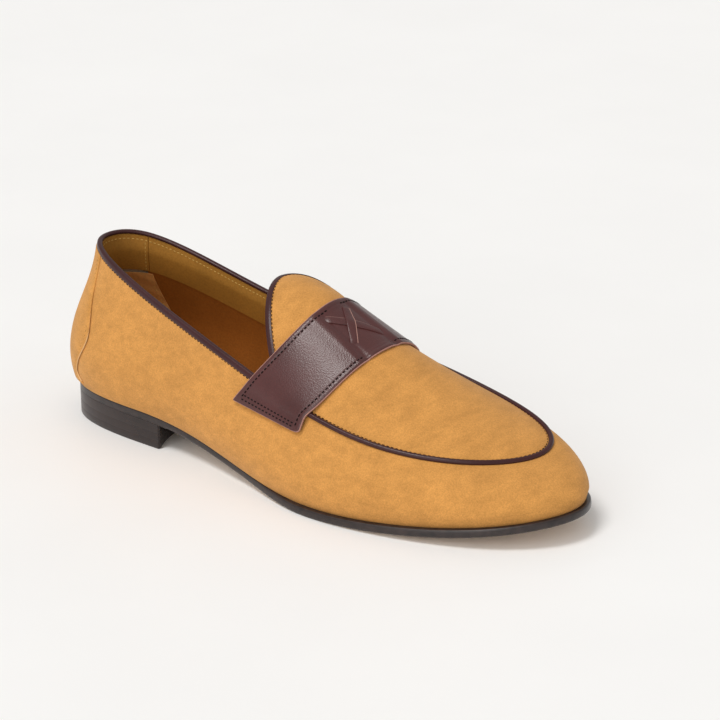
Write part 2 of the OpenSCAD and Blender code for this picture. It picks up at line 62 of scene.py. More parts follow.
BREAST_X, BREAST_R, BREAST_HALF = -77, 60, 32
TOP_PIECE_T, LIFT_T = 4, 4
SUEDE_T, STIFF_T, LINING_T, MARGIN_W, FACING_H = 1.4, 0.8, 0.8, 12, 18
LINING_D = SUEDE_T + STIFF_T + 0.2
STACK_T = LINING_D + LINING_T
BOARD_T, SOCK_T, FOAM_T = 1.8, 0.9, 2
SOCK_Z = STACK_T + 0.1 + BOARD_T
FOAM_Z = SOCK_Z + SOCK_T
STRAP_T, BACKING_T = 1.5, 0.7


def blend(a, b, c, d, f):
    f = f[..., None]
    return (a * (1 - f) ** 3 + b * (3 * f ** 3 - 6 * f * f + 4)
            + c * (-3 * f ** 3 + 3 * f * f + 3 * f + 1) + d * f ** 3) / 6


def loop_at(rows, t):
    """Point on a closed cubic B-spline."""
    t = np.asarray(t, float)
    i = np.floor(t).astype(int)
    n = len(rows)
    return blend(rows[(i - 1) % n], rows[i % n], rows[(i + 1) % n], rows[(i + 2) % n], t - i)


def open_at(rows, s):
    """Point on an open cubic B-spline, s from 0 to 1."""
    n = len(rows)
    ends = np.vstack([2 * rows[0] - rows[1], rows, 2 * rows[-1] - rows[-2]])
    t = np.clip(s, 0, 1) * (n - 1)
    i = np.minimum(np.floor(t).astype(int), n - 2)
    return blend(ends[i], ends[i + 1], ends[i + 2], ends[i + 3], t - i)


def mix(a, b, s):
    return a * (1 - s) + b * s


def smooth(s):
    s = np.clip(s, 0, 1)
    return s * s * (3 - 2 * s)


def unit(v):
    return v / np.maximum(np.linalg.norm(v, axis=-1, keepdims=True), 1e-9)


def station(k):
    """Share of the length at which control row k of a side sits, counted from the heel."""
    return 0 if k == 0 else FIRST_STATION if k == 1 else min(SECOND_STATION + STATION_STEP * (k - 2), 1)


def side_rows(row_of):
    """Closed list of rows: the heel, the outer side, the toe and the inner side back to the heel."""
    return np.array([row_of(k, -1) for k in range(9)] + [row_of(k, 1) for k in range(7, 0, -1)], float)


def middle_y(k, first, swing):
    """Middle line: it bows outwards behind the ball and swings inwards at the toe."""
    bow = BOW * math.sin(math.pi * (k - first) / 5) if first < k < first + 5 else 0
    return swing * (max(0, k - 5) / 3) ** 2 - bow


def feather_row(k, side):
    widths = [0, HEEL_CORNER * HEEL_W, HEEL_W, WAIST_W, (WAIST_W + BALL_W) / 2, BALL_W,
              BALL_CORNER * BALL_W, TOE_W, 0]
    slant = BALL_SLANT * math.sin(math.pi * station(k)) if side > 0 else 0
    return [mix(HEEL_X, TOE_X, station(k)) + slant, side * widths[k] / 2 + middle_y(k, 1, TOE_SWING)]


def top_row(k, side):
    share = 0 if k in (0, 8) else CORNER if k in (1, 7) else 1
    width = share * mix(COLLAR_W, APRON_W, min(max(k - 2, 0) / 3, 1))
    height = mix(COLLAR_H, VAMP_H, max(k - 1, 0) / 4) if k < 5 else mix(TOE_H, VAMP_H, TOE_FADE ** (k - 5))
    lift = INNER_LIFT * smooth((k - 3) / 2) * smooth((8 - k) / 2) if side > 0 else 0
    slant = APRON_SWING * station(k) if side > 0 else 0
    return [mix(COLLAR_X, APRON_X, station(k)) + slant,
            side * width / 2 + middle_y(k, 2, APRON_SWING), height + lift]


def bulge_row(k, side):
    """Low and high fullness of the side, and how far down from the top the high one sits."""
    shares = smooth((k - 2) / 5), smooth((k - 4) / 4), smooth((k - 4.5) / 3)
    return [mix(a, b, s) for a, b, s in zip(HEEL_FULLNESS, TOE_FULLNESS, shares)]


FEATHER_ROWS = side_rows(feather_row)
TOP_ROWS = side_rows(top_row)
BULGE_ROWS = side_rows(bulge_row)


def sole_top(x):
    toe = np.clip(x - BALL_X, 0, None) / (TOE_X - BALL_X)
    return SOLE_T + HEEL_RISE * smooth((BALL_X - x) / (BALL_X - SEAT_X)) + TOE_SPRING * toe ** 2


def outward(t):
    d = loop_at(FEATHER_ROWS, t + 0.01) - loop_at(FEATHER_ROWS, t - 0.01)
    return unit(np.stack([d[..., 1], -d[..., 0]], -1))


def plan_at(t, g):
    return loop_at(FEATHER_ROWS, t) + outward(t) * np.asarray(g)[..., None]


def lifted(q, d):
    """Plan points q raised d above the top of the outsole."""
    return np.concatenate([q, (sole_top(q[..., 0]) + d)[..., None]], -1)


def under(t, m, d):
    return lifted(plan_at(t, -np.asarray(m) + 0 * t), d)


def side_at(t, v):
    """Outer face of the upper's side: v is 0 at the sole and 1 at the top."""
    t, v = np.broadcast_arrays(np.asarray(t, float), np.asarray(v, float))
    foot, top, bulge, out = under(t, 0, 0), loop_at(TOP_ROWS, t), loop_at(BULGE_ROWS, t), outward(t)
    n = np.concatenate([out, 0 * out[..., :1]], -1)
    h = (top[..., 2] - foot[..., 2])[..., None] * np.array([0, 0, 1.0])
    low = foot + n * bulge[..., 0:1] + 0.4 * h
    high = top + n * bulge[..., 1:2] - bulge[..., 2:3] * h
    v = v[..., None]
    w = 1 - v
    return w ** 3 * foot + 3 * w * w * v * low + 3 * w * v * v * high + v ** 3 * top


def side_normal(t, v):
    along = side_at(t + 0.02, v) - side_at(t - 0.02, v)
    return unit(np.cross(along, side_at(t, v + 0.02) - side_at(t, v - 0.02)))


def side_in(t, v, d):
    t, v = np.broadcast_arrays(np.asarray(t, float), np.asarray(v, float))
    return side_at(t, v) - side_normal(t, v) * (np.asarray(d, float) + 0 * t)[..., None]


def side_h(t):
    return loop_at(TOP_ROWS, t)[..., 2] - under(t, 0, 0)[..., 2]


def foot_v(t):
    return 4.2 / side_h(t)


def facing_v(t):
    return 1 - FACING_H / side_h(t)


def apron_at(e, w):
    a = loop_at(TOP_ROWS, mix(TOE_ROW, THROAT_OUT, e))
    b = loop_at(TOP_ROWS, mix(TOE_ROW, THROAT_IN, e))
    p = mix(a, b, (1 + w[..., None]) / 2)
    p[..., 2] += CROWN_H * e ** CROWN_POWER * (1 - w * w)
    return p


def tongue_at(s, w):
    a, b = loop_at(TOP_ROWS, THROAT_OUT + 0 * s), loop_at(TOP_ROWS, THROAT_IN + 0 * s)
    m = (a + b) / 2
    k = (1 - s ** TONGUE_TAPER) ** TONGUE_ROUND
    half = (b[..., 1] - a[..., 1]) / 2 * k
    ridge = (1 - s) ** 2 * (m[..., 2] + CROWN_H) + 2 * s * (1 - s) * TONGUE_MID_Z + s * s * TONGUE_END[2]
    return np.stack([
        mix(m[..., 0], TONGUE_END[0], s), mix(m[..., 1], TONGUE_END[1], s) + half * w,
        ridge - mix(CROWN_H, TONGUE_CROWN, s) * (w * k) ** 2
        + (mix(a[..., 2], b[..., 2], (1 + w) / 2) - m[..., 2]) * (1 - s)], -1)


def plug_at(q, w):
    """Apron and tongue as one sheet: q is 0 at the toe, 1 at the throat and 2 at the tongue's end."""
    q, w = np.broadcast_arrays(np.asarray(q, float), np.asarray(w, float))
    apron = apron_at(np.clip(q, 0, 1), w)
    tongue = tongue_at(1 - (1 - np.clip(q - 1, 0, 0.995)) ** 2, w)
    return np.where((q < 1)[..., None], apron, tongue)


def plug_normal(q, w):
    e, k = np.clip(q, 0.06, 1.93), np.clip(w, -0.95, 0.95)
    back = plug_at(e - 0.02, k) - plug_at(e + 0.02, k)
    return unit(np.cross(back, plug_at(e, k + 0.03) - plug_at(e, k - 0.03)))


def plug_in(q, w, d):
    q, w = np.broadcast_arrays(np.asarray(q, float), np.asarray(w, float))
    return plug_at(q, w) - plug_normal(q, w) * (np.asarray(d, float) + 0 * q)[..., None]


STRAP_LIFT, STRAP_SEAM_LIFT, STRAP_END_LIFT = 2, 3, 0.8
STRAP_SEAM_V, STRAP_REACH = 0.97, 0.95


def strap_edge(place, sweep, outer_end, outer_seam, inner_seam, inner_end):
    """Rows of one edge of the strap: up the outer side, over the apron or tongue and down the inner side."""
    reach = np.linspace(-STRAP_REACH, STRAP_REACH, 6)
    over = [plug_in(place + sweep * w * w, w, -STRAP_LIFT) for w in reach]
    ends = [side_in(t, v, -lift) for (t, v), lift in (
        (outer_end, STRAP_END_LIFT), ((outer_seam, STRAP_SEAM_V), STRAP_SEAM_LIFT),
        ((inner_seam, STRAP_SEAM_V), STRAP_SEAM_LIFT), (inner_end, STRAP_END_LIFT))]
    return np.array([*ends[:2], *over, *ends[2:]])


STRAP_REAR = strap_edge(place=1.0, sweep=0.17, outer_end=(3.9, 0.72), outer_seam=4.1,
                        inner_seam=11.8, inner_end=(12.1, 0.72))
STRAP_FRONT = strap_edge(place=0.78, sweep=0.07, outer_end=(4.92, 0.79), outer_seam=4.95,
                         inner_seam=11.1, inner_end=(11.2, 0.79))


def strap_at(u, v):
    u, v = np.broadcast_arrays(np.asarray(u, float), np.asarray(v, float))
    return mix(open_at(STRAP_REAR, u), open_at(STRAP_FRONT, u), v[..., None])


def strap_normal(u, v):
    u = np.clip(u, 0.01, 0.99)
    return unit(np.cross(strap_at(u + 0.01, v) - strap_at(u - 0.01, v), strap_at(u, 0) - strap_at(u, 1)))


def strap_out(u, v, d):
    u, v = np.broadcast_arrays(np.asarray(u, float), np.asarray(v, float))
    return strap_at(u, v) + strap_normal(u, v) * (np.asarray(d, float) + 0 * u)[..., None]


# ---- meshes ----


def grid(n, m, a0, a1, b0, b1):
    """Two n by m arrays that run from a0 to a1 and from b0 to b1."""
    return np.meshgrid(np.linspace(a0, a1, n), np.linspace(b0, b1, m), indexing="ij")


def quads(index, wrap_i=False, wrap_j=False):
    """Faces of a grid of point numbers."""
    a = np.concatenate([index, index[:1]], 0) if wrap_i else index
    a = np.concatenate([a, a[:, :1]], 1) if wrap_j else a
    return np.stack([a[:-1, :-1], a[:-1, 1:], a[1:, 1:], a[1:, :-1]], -1).reshape(-1, 4)


def make(name, points, faces, material, replaces=(), slot=None, angle=40):
    """A mesh piece from points in millimetres, riding on the shoe."""
    mesh = bpy.data.meshes.new(name)
    mesh.from_pydata(((np.asarray(points) + CENTRE) * MM).tolist(), [], [list(map(int, f)) for f in faces])
    bm = bmesh.new()
    bm.from_mesh(mesh)
    bmesh.ops.remove_doubles(bm, verts=bm.verts, dist=2e-6)
    bmesh.ops.recalc_face_normals(bm, faces=bm.faces)
    for face in bm.faces:
        face.smooth = True
    bm.to_mesh(mesh)
    bm.free()
    mesh.set_sharp_from_angle(angle=math.radians(angle))
    mesh.materials.append(material)
    piece = bpy.data.objects.new(name, mesh)
    bpy.context.collection.objects.link(piece)
    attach(piece, "root")
    if replaces:
        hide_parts(*replaces)
    return piece


def shell(name, outer, inner, material, wrap=False, swell=0.3, **more):
    """A closed sheet between two grids of points, with a soft rim."""
    n, m = outer.shape[:2]
    rim = mix(outer, inner, 0.5)
    reach = np.linalg.norm(outer - inner, axis=-1, keepdims=True) * swell
    push = np.zeros_like(rim)
    push[:, 0] += unit(rim[:, 0] - rim[:, 1])
    push[:, -1] += unit(rim[:, -1] - rim[:, -2])
    if not wrap:
        push[0] += unit(rim[0] - rim[1])
        push[-1] += unit(rim[-1] - rim[-2])
    rim = rim + push * reach
    size = n * m
    index = np.arange(size).reshape(n, m)
    points = np.concatenate([outer.reshape(-1, 3), inner.reshape(-1, 3), rim.reshape(-1, 3)])
    faces = [quads(index, wrap), quads(index + size, wrap)[:, ::-1]]
    lines = [index[:, 0], index[::-1, -1]]
    if not wrap:
        lines += [index[0, ::-1], index[-1]]
    for line in lines:
        band = np.stack([line, line + 2 * size, line + size])
        faces.append(quads(band, False, wrap))
    return make(name, points, np.concatenate(faces), material, **more)


def tube(name, sections, material, closed=False, **more):
    """A solid swept through sections, an n by m by 3 array."""
    n, m = sections.shape[:2]
    index = np.arange(n * m).reshape(n, m)
    faces = [list(f) for f in quads(index, closed, True)]
    if not closed:
        faces += [list(index[0]), list(index[-1][::-1])]
    return make(name, sections.reshape(-1, 3), faces, material, **more)


def rope(points, ups, radius, flat=1.0, sides=12):
    """Round sections along a line of points, with ups the directions that count as up."""
    ahead = unit(np.gradient(points, axis=0))
    across = unit(np.cross(ahead, ups))
    ups = np.cross(across, ahead)
    a = np.linspace(0, 2 * np.pi, sides, endpoint=False)
    ring = across[:, None] * np.cos(a)[:, None] + ups[:, None] * np.sin(a)[:, None] * flat
    return points[:, None] + ring * (np.asarray(radius) + np.zeros(len(points)))[:, None, None]


def resample(points, normals, step):
    """Points and normals at equal steps along a line."""
    s = np.concatenate([[0], np.cumsum(np.linalg.norm(np.diff(points, axis=0), axis=1))])
    at = np.linspace(0, s[-1], max(2, int(round(s[-1] / step))) + 1)
    take = lambda a: np.stack([np.interp(at, s, a[:, k]) for k in range(3)], 1)
    return take(points), unit(take(normals))


STITCH_PITCH, STITCH_R = 2.2, 0.27


def stitches(rows, pitch=STITCH_PITCH, radius=STITCH_R, fill=0.74, sink=0.12):
    """Points and faces of stitches along rows, each a line of points with its normals."""
    rings, sides = 7, 8
    along = np.linspace(-1, 1, rings)
    a = np.linspace(0, 2 * np.pi, sides, endpoint=False)
    points, faces = [], []
    index = np.arange(rings * sides).reshape(rings, sides)
    for line, normals in rows:
        p, n = resample(line, normals, pitch)
        for k in range(len(p) - 1):
            ahead, up = p[k + 1] - p[k], unit(n[k] + n[k + 1])
            length = np.linalg.norm(ahead) * fill / 2
            ahead = unit(ahead)
            side = np.cross(up, ahead)
            mid = (p[k] + p[k + 1]) / 2 - up * sink
            width = radius * np.sqrt(np.maximum(1 - along ** 4, 0.02))
            spine = mid + ahead * (along * length)[:, None] - up * (0.5 * radius * along ** 4)[:, None]
            ring = side * np.cos(a)[:, None] + up * np.sin(a)[:, None]
            block = spine[:, None] + ring[None] * width[:, None, None]
            start = len(points) * rings * sides
            faces += [list(f + start) for f in quads(index, False, True)]
            faces += [list(index[0] + start), list(index[-1][::-1] + start)]
            points.append(block.reshape(-1, 3))
    return np.concatenate(points), faces


def thread(name, rows, material, **more):
    keep = {k: more.pop(k) for k in ("pitch", "radius", "fill", "sink") if k in more}
    points, faces = stitches(rows, **keep)
    return make(name, points, faces, material, **more)


def wobble(p, size, height, seed):
    """A slow, smooth unevenness at points p: size is its wavelength in millimetres."""
    rng = np.random.default_rng(seed)
    total = np.zeros(p.shape[:-1])
    for k in range(7):
        direction = unit(rng.normal(size=3))
        wave = 2 * np.pi / (size * rng.uniform(0.7, 1.6))
        total += np.sin(p @ direction * wave + rng.uniform(0, 6.3))
    return total * height / 3


# ---- materials ----


class Nodes:
    """A short way to write a node tree."""

    def __init__(self, name):
        self.material = bpy.data.materials.new(name)
        self.material.use_nodes = True
        self.tree = self.material.node_tree
        self.shader = self.tree.nodes["Principled BSDF"]
        self.place = self.tree.nodes.new("ShaderNodeTexCoord").outputs["Object"]

    def node(self, kind, **values):
        made = self.tree.nodes.new(kind)
        for key, value in values.items():
            if key in made.inputs:
                self.put(made.inputs[key], value)
            else:
                setattr(made, key, value)
        return made

    def put(self, socket, value):
        if isinstance(value, bpy.types.NodeSocket):
            self.tree.links.new(value, socket)
        else:
            socket.default_value = value

    def set(self, **values):
        for key, value in values.items():
            self.put(self.shader.inputs[key.replace("_", " ")], value)

    def noise(self, scale, detail=3, rough=0.55, stretch=None, where=None):
        where = where or self.place
        if stretch:
            where = self.node("ShaderNodeMapping", Vector=where, Scale=stretch).outputs[0]
        return self.node("ShaderNodeTexNoise", Vector=where, Scale=scale, Detail=detail,
                         Roughness=rough).outputs["Fac"]

    def cells(self, scale, feature="F1"):
        made = self.node("ShaderNodeTexVoronoi", Vector=self.place, Scale=scale, feature=feature)
        return made.outputs["Distance"]

    def ramp(self, value, *stops):
        made = self.node("ShaderNodeValToRGB", Fac=value)
        ramp = made.color_ramp
        while len(ramp.elements) < len(stops):
            ramp.elements.new(0.5)
        for element, (at, colour) in zip(ramp.elements, stops):
            element.position = at
            element.color = (*colour, 1) if len(colour) == 3 else colour
        return made.outputs["Color"]

    def math(self, kind, a, b=0.5, c=None):
        made = self.node("ShaderNodeMath", operation=kind)
        self.put(made.inputs[0], a)
        self.put(made.inputs[1], b)
        if c is not None:
            self.put(made.inputs[2], c)
        return made.outputs[0]

    def blend(self, share, a, b, kind="MIX"):
        made = self.node("ShaderNodeMix", data_type="RGBA", blend_type=kind)
        self.put(made.inputs["Factor"], share)
        self.put(made.inputs[6], a)
        self.put(made.inputs[7], b)
        return made.outputs[2]

    def bump(self, height, strength, distance, below=None):
        made = self.node("ShaderNodeBump", Height=height, Strength=strength, Distance=distance)
        if below is not None:
            self.put(made.inputs["Normal"], below)
        return made.outputs[0]

    def attribute(self, name):
        return self.node("ShaderNodeAttribute", attribute_name=name).outputs["Fac"]


def shade(colour, k):
    return tuple(min(1.0, c * k) for c in colour)


def suede(name, colour):
    """Brushed suede: cloudy nap, fine fibres and a soft edge light."""
    m = Nodes(name)
    cloud = m.noise(48, 4, 0.65)
    brush = m.noise(150, 3, 0.6, (1, 0.45, 1.6))
    fleck = m.noise(1500, 2, 0.7)
    base = m.ramp(cloud, (0.30, shade(colour, 0.93)), (0.50, colour), (0.72, shade(colour, 1.05)))
    soft = m.ramp(brush, (0.32, (0.88, 0.87, 0.85)), (0.68, (1.06, 1.05, 1.04)))
    fine = m.ramp(fleck, (0.34, (0.86, 0.85, 0.83)), (0.66, (1.1, 1.1, 1.1)))
    tone = m.blend(1.0, base, soft, "MULTIPLY")
    tone = m.blend(1.0, tone, fine, "MULTIPLY")
    fibres = m.bump(m.noise(2600, 3, 0.7, (1, 1, 0.5)), 0.45, 0.0004)
    m.set(Base_Color=tone, Roughness=0.95, Normal=m.bump(brush, 0.25, 0.0006, fibres))
    m.set(Sheen_Weight=0.22, Sheen_Roughness=0.45, Sheen_Tint=(1.0, 0.82, 0.6, 1), Specular_IOR_Level=0.15)
    return m.material


def leather(name, colour, rough=0.38, grain=900, depth=0.00012, wear=0.10, shine=0.5):
    """Smooth dyed leather with a fine pebble grain and slight pull-up."""
    m = Nodes(name)
    cloud = m.noise(35, 3, 0.6)
    base = m.ramp(cloud, (0.3, shade(colour, 1 - wear)), (0.7, shade(colour, 1 + 1.6 * wear)))
    pores = m.ramp(m.noise(grain * 0.8, 2), (0.35, (0.86, 0.86, 0.86)), (0.6, (1, 1, 1)))
    pebble = m.cells(grain)
    fine = m.bump(m.noise(grain * 2.2, 3), 0.25, depth * 0.6)
    m.set(Base_Color=m.blend(1.0, base, pores, "MULTIPLY"), Normal=m.bump(pebble, 0.5, depth, fine))
    m.set(Roughness=m.math("MULTIPLY_ADD", cloud, 0.22, rough - 0.11))
    m.set(Specular_IOR_Level=shine)
    return m.material


def plain(name, colour, rough, scale=400, vary=0.12, depth=0.0002, metal=0.0):
    """A matte body with speckle and a fine rough surface."""
    m = Nodes(name)
    fleck = m.noise(scale, 4, 0.65)
    base = m.ramp(fleck, (0.3, shade(colour, 1 - vary)), (0.7, shade(colour, 1 + vary)))
    m.set(Base_Color=base, Roughness=rough, Metallic=metal, Normal=m.bump(fleck, 0.4, depth))
    return m.material


def twisted(name, colour):
    """Waxed thread."""
    m = Nodes(name)
    ply = m.noise(3200, 2, 0.5, (1, 1, 2.4))
    base = m.ramp(ply, (0.35, shade(colour, 0.6)), (0.65, shade(colour, 1.25)))
    m.set(Base_Color=base, Roughness=0.7, Specular_IOR_Level=0.15, Normal=m.bump(ply, 0.6, 0.0002))
    return m.material


def sole_leather(name):
    """Pale sole leather, browner in its stamped marks and dark at its inked edge."""
    m = Nodes(name)
    fibre = m.noise(120, 4, 0.6, (0.5, 1.5, 1))
    pale = m.ramp(fibre, (0.3, (0.70, 0.52, 0.37)), (0.7, (0.86, 0.69, 0.54)))
    stamped = m.blend(m.attribute("stamp"), pale, (0.33, 0.17, 0.07, 1))
    ink = m.ramp(m.noise(260, 3), (0.3, (0.012, 0.008, 0.008)), (0.7, (0.035, 0.022, 0.020)))
    m.set(Base_Color=m.blend(m.attribute("edge"), stamped, ink))
    m.set(Roughness=m.math("MULTIPLY_ADD", m.attribute("edge"), -0.28, 0.62))
    m.set(Normal=m.bump(m.noise(1100, 3), 0.3, 0.00015))
    return m.material


CARAMEL = (0.61, 0.292, 0.077)
MATERIALS = {
    "suede": suede("suede", CARAMEL),
    "strap": leather("strap_leather", (0.066, 0.014, 0.013), 0.33, 1500, 0.00012, 0.14, 0.6),
    "trim": leather("trim_leather", (0.045, 0.011, 0.012), 0.34, 1400, 0.00006, 0.10, 0.32),
    "cut": plain("cut_edge", (0.42, 0.22, 0.18), 0.8, 900),
    "raw_edge": plain("raw_edge", (0.74, 0.46, 0.21), 0.9, 900),
    "facing": leather("facing_leather", (0.36, 0.165, 0.026), 0.6, 1200, 0.00008, 0.1, 0.2),
    "pad": leather("pad_leather", (0.62, 0.30, 0.09), 0.5, 900, 0.00010, 0.1, 0.3),
    # The lining's dark orange-brown is its own flesh-side colour, darkened further as painted shade for the
    # inside of the shoe.
    "lining": leather("lining_leather", (0.30, 0.10, 0.014), 0.6, 1100, 0.00008, 0.1, 0.2),
    "sock": leather("sock_leather", (0.56, 0.25, 0.05), 0.55, 1000, 0.00008, 0.1, 0.3),
    "board": plain("insole_board", (0.50, 0.33, 0.18), 0.85),
    "stiff": plain("leatherboard", (0.48, 0.36, 0.22), 0.9),
    "cork": plain("cork", (0.36, 0.20, 0.10), 0.9, 700, 0.4, 0.0006),
    "rubber": plain("rubber", (0.016, 0.017, 0.019), 0.62, 900, 0.25, 0.0001),
    "heel": leather("heel_leather", (0.022, 0.013, 0.012), 0.28, 300, 0.00004, 0.2, 0.45),
    "dark_thread": twisted("dark_thread", (0.010, 0.004, 0.004)),
    "tan_thread": twisted("tan_thread", (0.10, 0.042, 0.012)),
    "gold_thread": twisted("gold_thread", (0.66, 0.42, 0.12)),
    "pale_thread": twisted("pale_thread", (0.70, 0.62, 0.46)),
    "steel": plain("steel", (0.45, 0.46, 0.48), 0.4, 800, 0.1, 0.00005, 1.0),
    "brass": plain("brass", (0.65, 0.45, 0.16), 0.35, 800, 0.1, 0.00005, 1.0),
    "sole": sole_leather("sole_leather"),
}

# ---- camera, light and floor ----


def add_camera():
    """Three-quarter view from the outer front side, with a long lens."""
    azimuth, elevation, roll = math.radians(39.4), math.radians(21.05), math.radians(-0.57)
    back = Vector((math.sin(azimuth) * math.cos(elevation), -math.cos(azimuth) * math.cos(elevation),
                   math.sin(elevation)))
    target = Vector((0.0267, 0.0009, 0.0593))
    data = bpy.data.cameras.new("camera")
    data.sensor_width = 36
    data.lens = 152.5
    camera = bpy.data.objects.new("camera", data)
    turn = (-back).to_track_quat("-Z", "Y").to_matrix() @ Matrix.Rotation(roll, 3, "Z")
    camera.matrix_world = Matrix.Translation(target + back * 1.4134) @ turn.to_4x4()
    bpy.context.collection.objects.link(camera)
    bpy.context.scene.camera = camera


def add_sun(name, azimuth, elevation, width, strength, colour):
    """Soft studio light from a direction, in degrees, where azimuth 0 is the outer side of the shoe."""
    data = bpy.data.lights.new(name, "SUN")
    data.angle = math.radians(width)
    data.energy = strength
    data.color = colour
    lamp = bpy.data.objects.new(name, data)
    a, e = math.radians(azimuth), math.radians(elevation)
    towards = Vector((math.sin(a) * math.cos(e), -math.cos(a) * math.cos(e), math.sin(e)))
    lamp.rotation_euler = (-towards).to_track_quat("-Z", "Y").to_euler()
    bpy.context.collection.objects.link(lamp)


def add_stage():
    scene = bpy.context.scene
    scene.view_settings.view_transform = "Standard"
    world = bpy.data.worlds.new("studio")
    world.use_nodes = True
    world.node_tree.nodes["Background"].inputs["Color"].default_value = (1.0, 0.99, 0.975, 1)
    world.node_tree.nodes["Background"].inputs["Strength"].default_value = 0.52
    scene.world = world
    m = Nodes("floor")
    pale = m.ramp(m.noise(8), (0.3, (0.90, 0.90, 0.895)), (0.7, (0.92, 0.92, 0.915)))
    m.set(Base_Color=pale, Roughness=0.55)
    mesh = bpy.data.meshes.new("floor")
    half = 6
    corners = [(-half, -half, 0), (half, -half, 0), (half, half, 0), (-half, half, 0)]
    mesh.from_pydata(corners, [], [(0, 1, 2, 3)])
    mesh.materials.append(m.material)
    floor = bpy.data.objects.new("floor", mesh)
    bpy.context.collection.objects.link(floor)
    add_sun("key", -15, 66, 22, 1.5, (1, 0.985, 0.965))
    add_sun("fill", 12, 24, 50, 0.8, (1, 0.985, 0.975))


add_camera()
add_stage()

# ---- bottom unit ----

LOOP = 480


def sole_growth(t):
    return mix(-0.8, SOLE_EDGE, smooth((loop_at(FEATHER_ROWS, t)[..., 0] + 20) / 50))


def cap(ring, numbers, start, height, columns):
    """Cross rows that close a ring of the sole: the new points and the faces. The ring's own points have the
    given numbers, and the new ones count up from start."""
    half, rows, points = len(ring) // 2, [], []
    shares = np.linspace(0, 1, columns + 2)[1:-1, None]
    for r in range(half + 1):
        a, b = half - r, (half + r) % len(ring)
        if a == b:
            rows.append(np.full(columns + 2, numbers[a]))
            continue
        q = mix(ring[a][None], ring[b][None], shares)
        q[:, 2] = sole_top(q[:, 0]) + height
        rows.append([numbers[a], *range(start, start + columns), numbers[b]])
        points.append(q)
        start += columns
    return np.concatenate(points), quads(np.array(rows))


def proper(faces):
    """Faces without repeated corners, leaving out those that shrink to a line."""
    trimmed = [list(dict.fromkeys(f)) for f in faces]
    return [f for f in trimmed if len(f) > 2]


def slab(name, growth, section, material, columns=16, **more):
    """A layer that follows the sole. Each section entry is (inset, height over the outsole's top), from the
    middle of the upper face round the edge to the middle of the lower face."""
    t = np.arange(LOOP) * ROWS / LOOP
    rings = [lifted(plan_at(t, growth - inset + 0 * t), height) for inset, height in section]
    points = [np.concatenate(rings)]
    last = len(section) - 1
    index = np.arange(len(section) * LOOP).reshape(-1, LOOP)
    faces = [quads(index, False, True)]
    start = len(section) * LOOP
    for ring_no in (0, last):
        extra, patch = cap(rings[ring_no], index[ring_no], start, section[ring_no][1], columns)
        points.append(extra)
        faces.append(patch if ring_no else patch[:, ::-1])
        start += len(extra)
    return make(name, np.concatenate(points), proper(np.concatenate(faces).tolist()), material, **more)


STAMP_PITCH = 3.1


def stamp_depth(along, inset):
    """How deep the stamped ring is: a row of dots and a row of wedges inside it, 0 to 1."""
    phase = np.abs((along / STAMP_PITCH) % 1 - 0.5) * STAMP_PITCH
    dots = smooth((0.75 - np.hypot(phase, inset - 6.6)) / 0.35)
    width = 0.35 + 0.75 * np.clip((inset - 8.4) / 6.2, 0, 1)
    inside = smooth((inset - 8.2) / 0.5) * smooth((14.8 - inset) / 0.5)
    wedges = smooth((width - phase) / 0.35) * inside
    return np.maximum(dots, wedges)


def outsole():
    """Outsole with a rounded inked edge and the stamped ring pressed into its lower face."""
    n = 2560
    t = np.arange(n) * ROWS / n
    insets = np.concatenate([[1.4, 2.6, 4.4, 5.4], np.arange(5.8, 15.4, 0.3), [16, 17.5]])
    edge = [(8, 0), (2, 0), (0.5, -0.05), (0.12, -0.35), (0, -1.2), (-0.15, -2.4), (-0.05, -3.3),
            (0.3, -3.8), (0.8, -SOLE_T)]
    growth = sole_growth(t)
    path = lifted(plan_at(t, growth - 8), 0)
    along = np.concatenate([[0], np.cumsum(np.linalg.norm(np.diff(path, axis=0), axis=1))])
    whole = along[-1] + np.linalg.norm(path[0] - path[-1])
    along = along * (STAMP_PITCH * round(whole / STAMP_PITCH)) / whole
    front = smooth((loop_at(FEATHER_ROWS, t)[:, 0] - BREAST_X - 4) / 3)
    rings, stamp, ink = [], [], []
    for inset, height in edge:
        inset = inset if height > -1 else inset * np.maximum(front, 0.1)
        rings.append(lifted(plan_at(t, growth - inset), height))
        stamp.append(np.zeros(n))
        ink.append(1 - front if height < -3.9 else np.ones(n))
    for inset in insets:
        pressed = stamp_depth(along, inset) * front
        rings.append(lifted(plan_at(t, growth - inset), -SOLE_T + 0.28 * pressed))
        stamp.append(pressed)
        ink.append(1 - front)
    points = [np.concatenate(rings)]
    index = np.arange(len(rings) * n).reshape(len(rings), n)
    faces = quads(index, False, True).tolist()
    start = len(rings) * n
    for ring_no, height in ((0, 0), (len(rings) - 1, -SOLE_T)):
        extra, patch = cap(rings[ring_no], index[ring_no], start, height, 20)
        points.append(extra)
        faces += proper(patch.tolist())
        start += len(extra)
    points = np.concatenate(points)
    pad = np.zeros(len(points) - len(rings) * n)
    mesh = bpy.data.meshes.new("outsole_leather")
    mesh.from_pydata(((points + CENTRE) * MM).tolist(), [], faces)
    for name, values in (("stamp", stamp), ("edge", ink)):
        layer = mesh.attributes.new(name, "FLOAT", "POINT")
        layer.data.foreach_set("value", np.concatenate(values + [pad]).astype(np.float32))
    bm = bmesh.new()
    bm.from_mesh(mesh)
    bmesh.ops.recalc_face_normals(bm, faces=bm.faces)
    for face in bm.faces:
        face.smooth = True
    bm.to_mesh(mesh)
    bm.free()
    mesh.materials.append(MATERIALS["sole"])
    piece = bpy.data.objects.new("outsole_leather", mesh)
    bpy.context.collection.objects.link(piece)
    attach(piece, "root")
    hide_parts("outsole")


def insert_at(angle, inset):
    c, s = np.cos(angle), np.sin(angle)
    p = np.stack([68 + 50 * c, -1 + (31 - 7 * c) * s + 5 * c], -1)
    return p - unit(p - np.array([68, 0])) * inset


